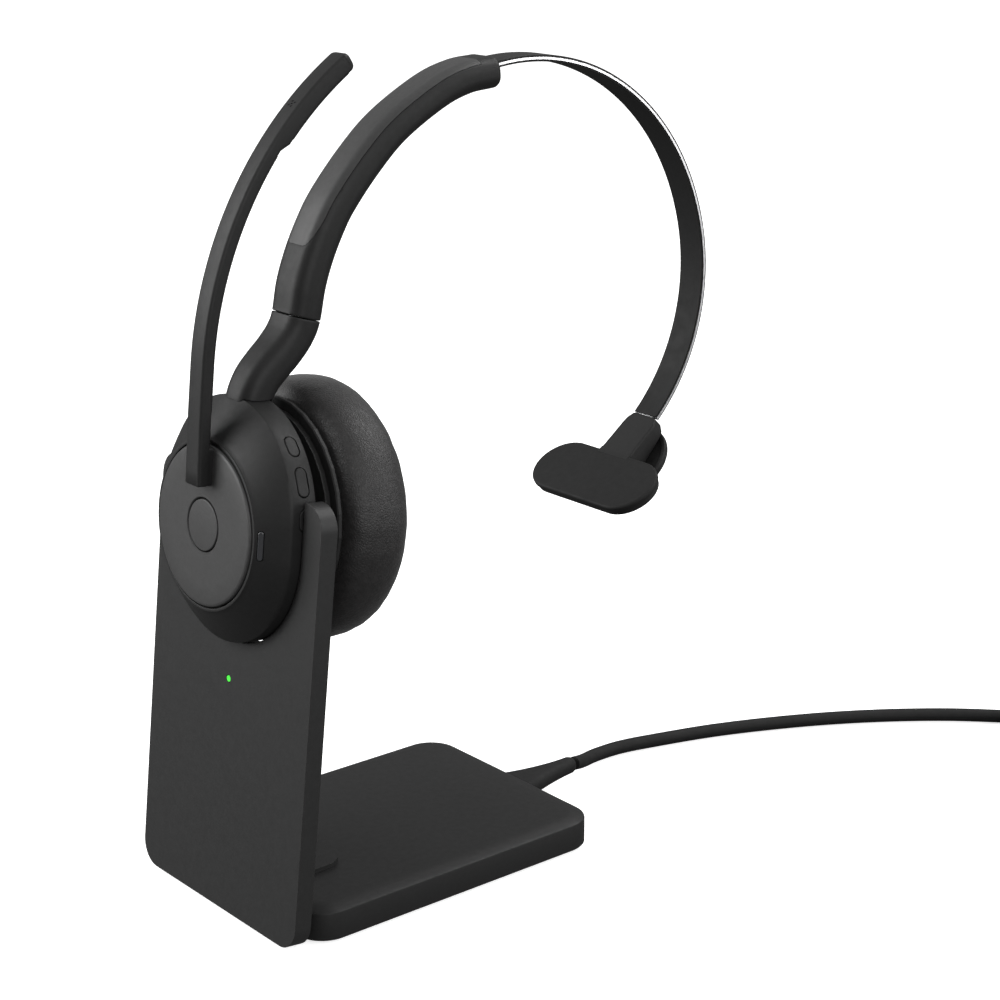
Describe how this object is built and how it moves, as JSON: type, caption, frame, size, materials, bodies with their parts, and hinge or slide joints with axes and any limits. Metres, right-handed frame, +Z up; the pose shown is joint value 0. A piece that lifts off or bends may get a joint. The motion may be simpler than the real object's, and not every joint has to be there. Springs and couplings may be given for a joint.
{
  "type": "office headset",
  "caption": "Mono wireless office headset with microphone boom, T-bar head rest and padded ear cushion, docked on a charging stand with USB lead",
  "frame": {"origin": "centre of the base's rubber foot, on the surface the stand rests on", "axes": "+Z up; +Y from the stand's upright plate towards the base's lead outlet and the headband; X across the stand"},
  "size_m": [0.1627, 0.2839, 0.2163],
  "materials": {
    "matte_black": "fine matte texture",
    "satin_black": "satin",
    "soft_rubber": "matte",
    "leatherette": "soft grained",
    "spring_steel": "bright edges",
    "plated_steel": "plated",
    "circuit_board": "lacquered",
    "component_black": "moulded",
    "contact_gold": "gold plated",
    "cell_foil": "foil",
    "lamp_green": "translucent",
    "lamp_smoke": "translucent"
  },
  "bodies": {
    "stand": {"stand_plate_front": "satin_black", "stand_plate_rear": "matte_black", "plate_screw": "plated_steel", "status_light_pipe": "lamp_green", "stand_circuit_board": "circuit_board", "charge_pin_block": "component_black", "charge_pin_left": "contact_gold", "charge_pin_right": "contact_gold", "base_top_shell": "matte_black", "base_bottom_cover": "matte_black", "base_screw_1": "plated_steel", "base_screw_2": "plated_steel", "base_ballast": "plated_steel", "foot_mat": "soft_rubber", "foot_bracket": "matte_black", "strain_relief": "soft_rubber", "usb_lead": "soft_rubber", "usb_lead_coil": "soft_rubber", "usb_lead_end": "soft_rubber", "lead_tie": "soft_rubber", "usb_plug_overmould": "matte_black", "usb_plug_shell": "plated_steel"},
    "cup": {"cup_front_housing": "matte_black", "cup_rear_housing": "matte_black", "cup_screw_1": "plated_steel", "cup_screw_2": "plated_steel", "charge_contact_left": "contact_gold", "charge_contact_right": "contact_gold", "cup_circuit_board": "circuit_board", "mute_switch": "component_black", "battery_cell": "cell_foil", "busy_light_lens": "lamp_smoke", "boom_retaining_ring": "spring_steel", "neck": "matte_black", "swivel_shaft": "plated_steel", "gimbal_bracket": "plated_steel"},
    "boom": {"boom_disc": "satin_black", "boom_screw": "plated_steel", "boom_front_cover": "matte_black", "boom_rear_cover": "matte_black", "microphone_housing": "matte_black", "microphone_capsule": "plated_steel"},
    "mute": {"mute_button": "satin_black"},
    "volume_up": {"volume_up_button": "matte_black"},
    "middle": {"middle_button": "matte_black"},
    "volume_down": {"volume_down_button": "matte_black"},
    "headband": {"headband_housing": "matte_black", "headband_cover": "satin_black"},
    "band": {"steel_band": "spring_steel", "band_outer_strip": "matte_black", "band_inner_strip": "soft_rubber"},
    "head_rest": {"head_rest_bar": "matte_black", "head_rest_pad": "soft_rubber", "head_rest_hub": "matte_black"},
    "gimbal": {"gimbal_ring": "plated_steel"},
    "cushion": {"speaker_frame": "matte_black", "cushion_ring": "matte_black", "speaker_driver": "component_black", "speaker_baffle": "matte_black", "ear_cushion": "leatherette"}
  },
  "joints": [
    {"name": "headset_lift", "type": "slide", "parent": "stand", "child": "cup", "axis": [0, 0.1071, 0.9942], "range_m": [0, 0.08]},
    {"name": "boom_swing", "type": "hinge", "parent": "cup", "child": "boom", "pos_m": [0, -0.05235, 0.1031], "axis": [0, -0.9942, 0.1071], "range_deg": [-135, 135]},
    {"name": "mute_press", "type": "slide", "parent": "cup", "child": "mute", "axis": [0, 0.9942, -0.1071], "range_m": [0, 0.0005], "stiffness_N_per_m": 3000, "springref_m": -0.0002},
    {"name": "volume_up_press", "type": "slide", "parent": "cup", "child": "volume_up", "axis": [-0.7314, -0.0731, -0.6781], "range_m": [0, 0.0003], "stiffness_N_per_m": 3000, "springref_m": -0.0002},
    {"name": "middle_press", "type": "slide", "parent": "cup", "child": "middle", "axis": [-0.9171, -0.0427, -0.3965], "range_m": [0, 0.0003], "stiffness_N_per_m": 3000, "springref_m": -0.0002},
    {"name": "volume_down_press", "type": "slide", "parent": "cup", "child": "volume_down", "axis": [-0.9976, -0.0075, -0.0694], "range_m": [0, 0.0003], "stiffness_N_per_m": 3000, "springref_m": -0.0002},
    {"name": "headband_swivel", "type": "hinge", "parent": "cup", "child": "headband", "pos_m": [0, -0.0232, 0.1509], "axis": [0, 0.2782, 0.9605], "range_deg": [-90, 90]},
    {"name": "band_extend", "type": "hinge", "parent": "headband", "child": "band", "pos_m": [0, 0.04753, 0.14316], "axis": [-1, 0, 0], "range_deg": [0, 18]},
    {"name": "head_rest_swivel", "type": "hinge", "parent": "band", "child": "head_rest", "pos_m": [0, 0.08762, 0.09649], "axis": [0, 0.7291, -0.6844], "range_deg": [-5, 5]},
    {"name": "cushion_pitch", "type": "hinge", "parent": "cup", "child": "gimbal", "pos_m": [0, -0.03465, 0.1031], "axis": [1, 0, 0], "range_deg": [-5, 3.5]},
    {"name": "cushion_yaw", "type": "hinge", "parent": "gimbal", "child": "cushion", "pos_m": [0, -0.03465, 0.1031], "axis": [0, 0.1071, 0.9942], "range_deg": [-5, 5]}
  ]
}
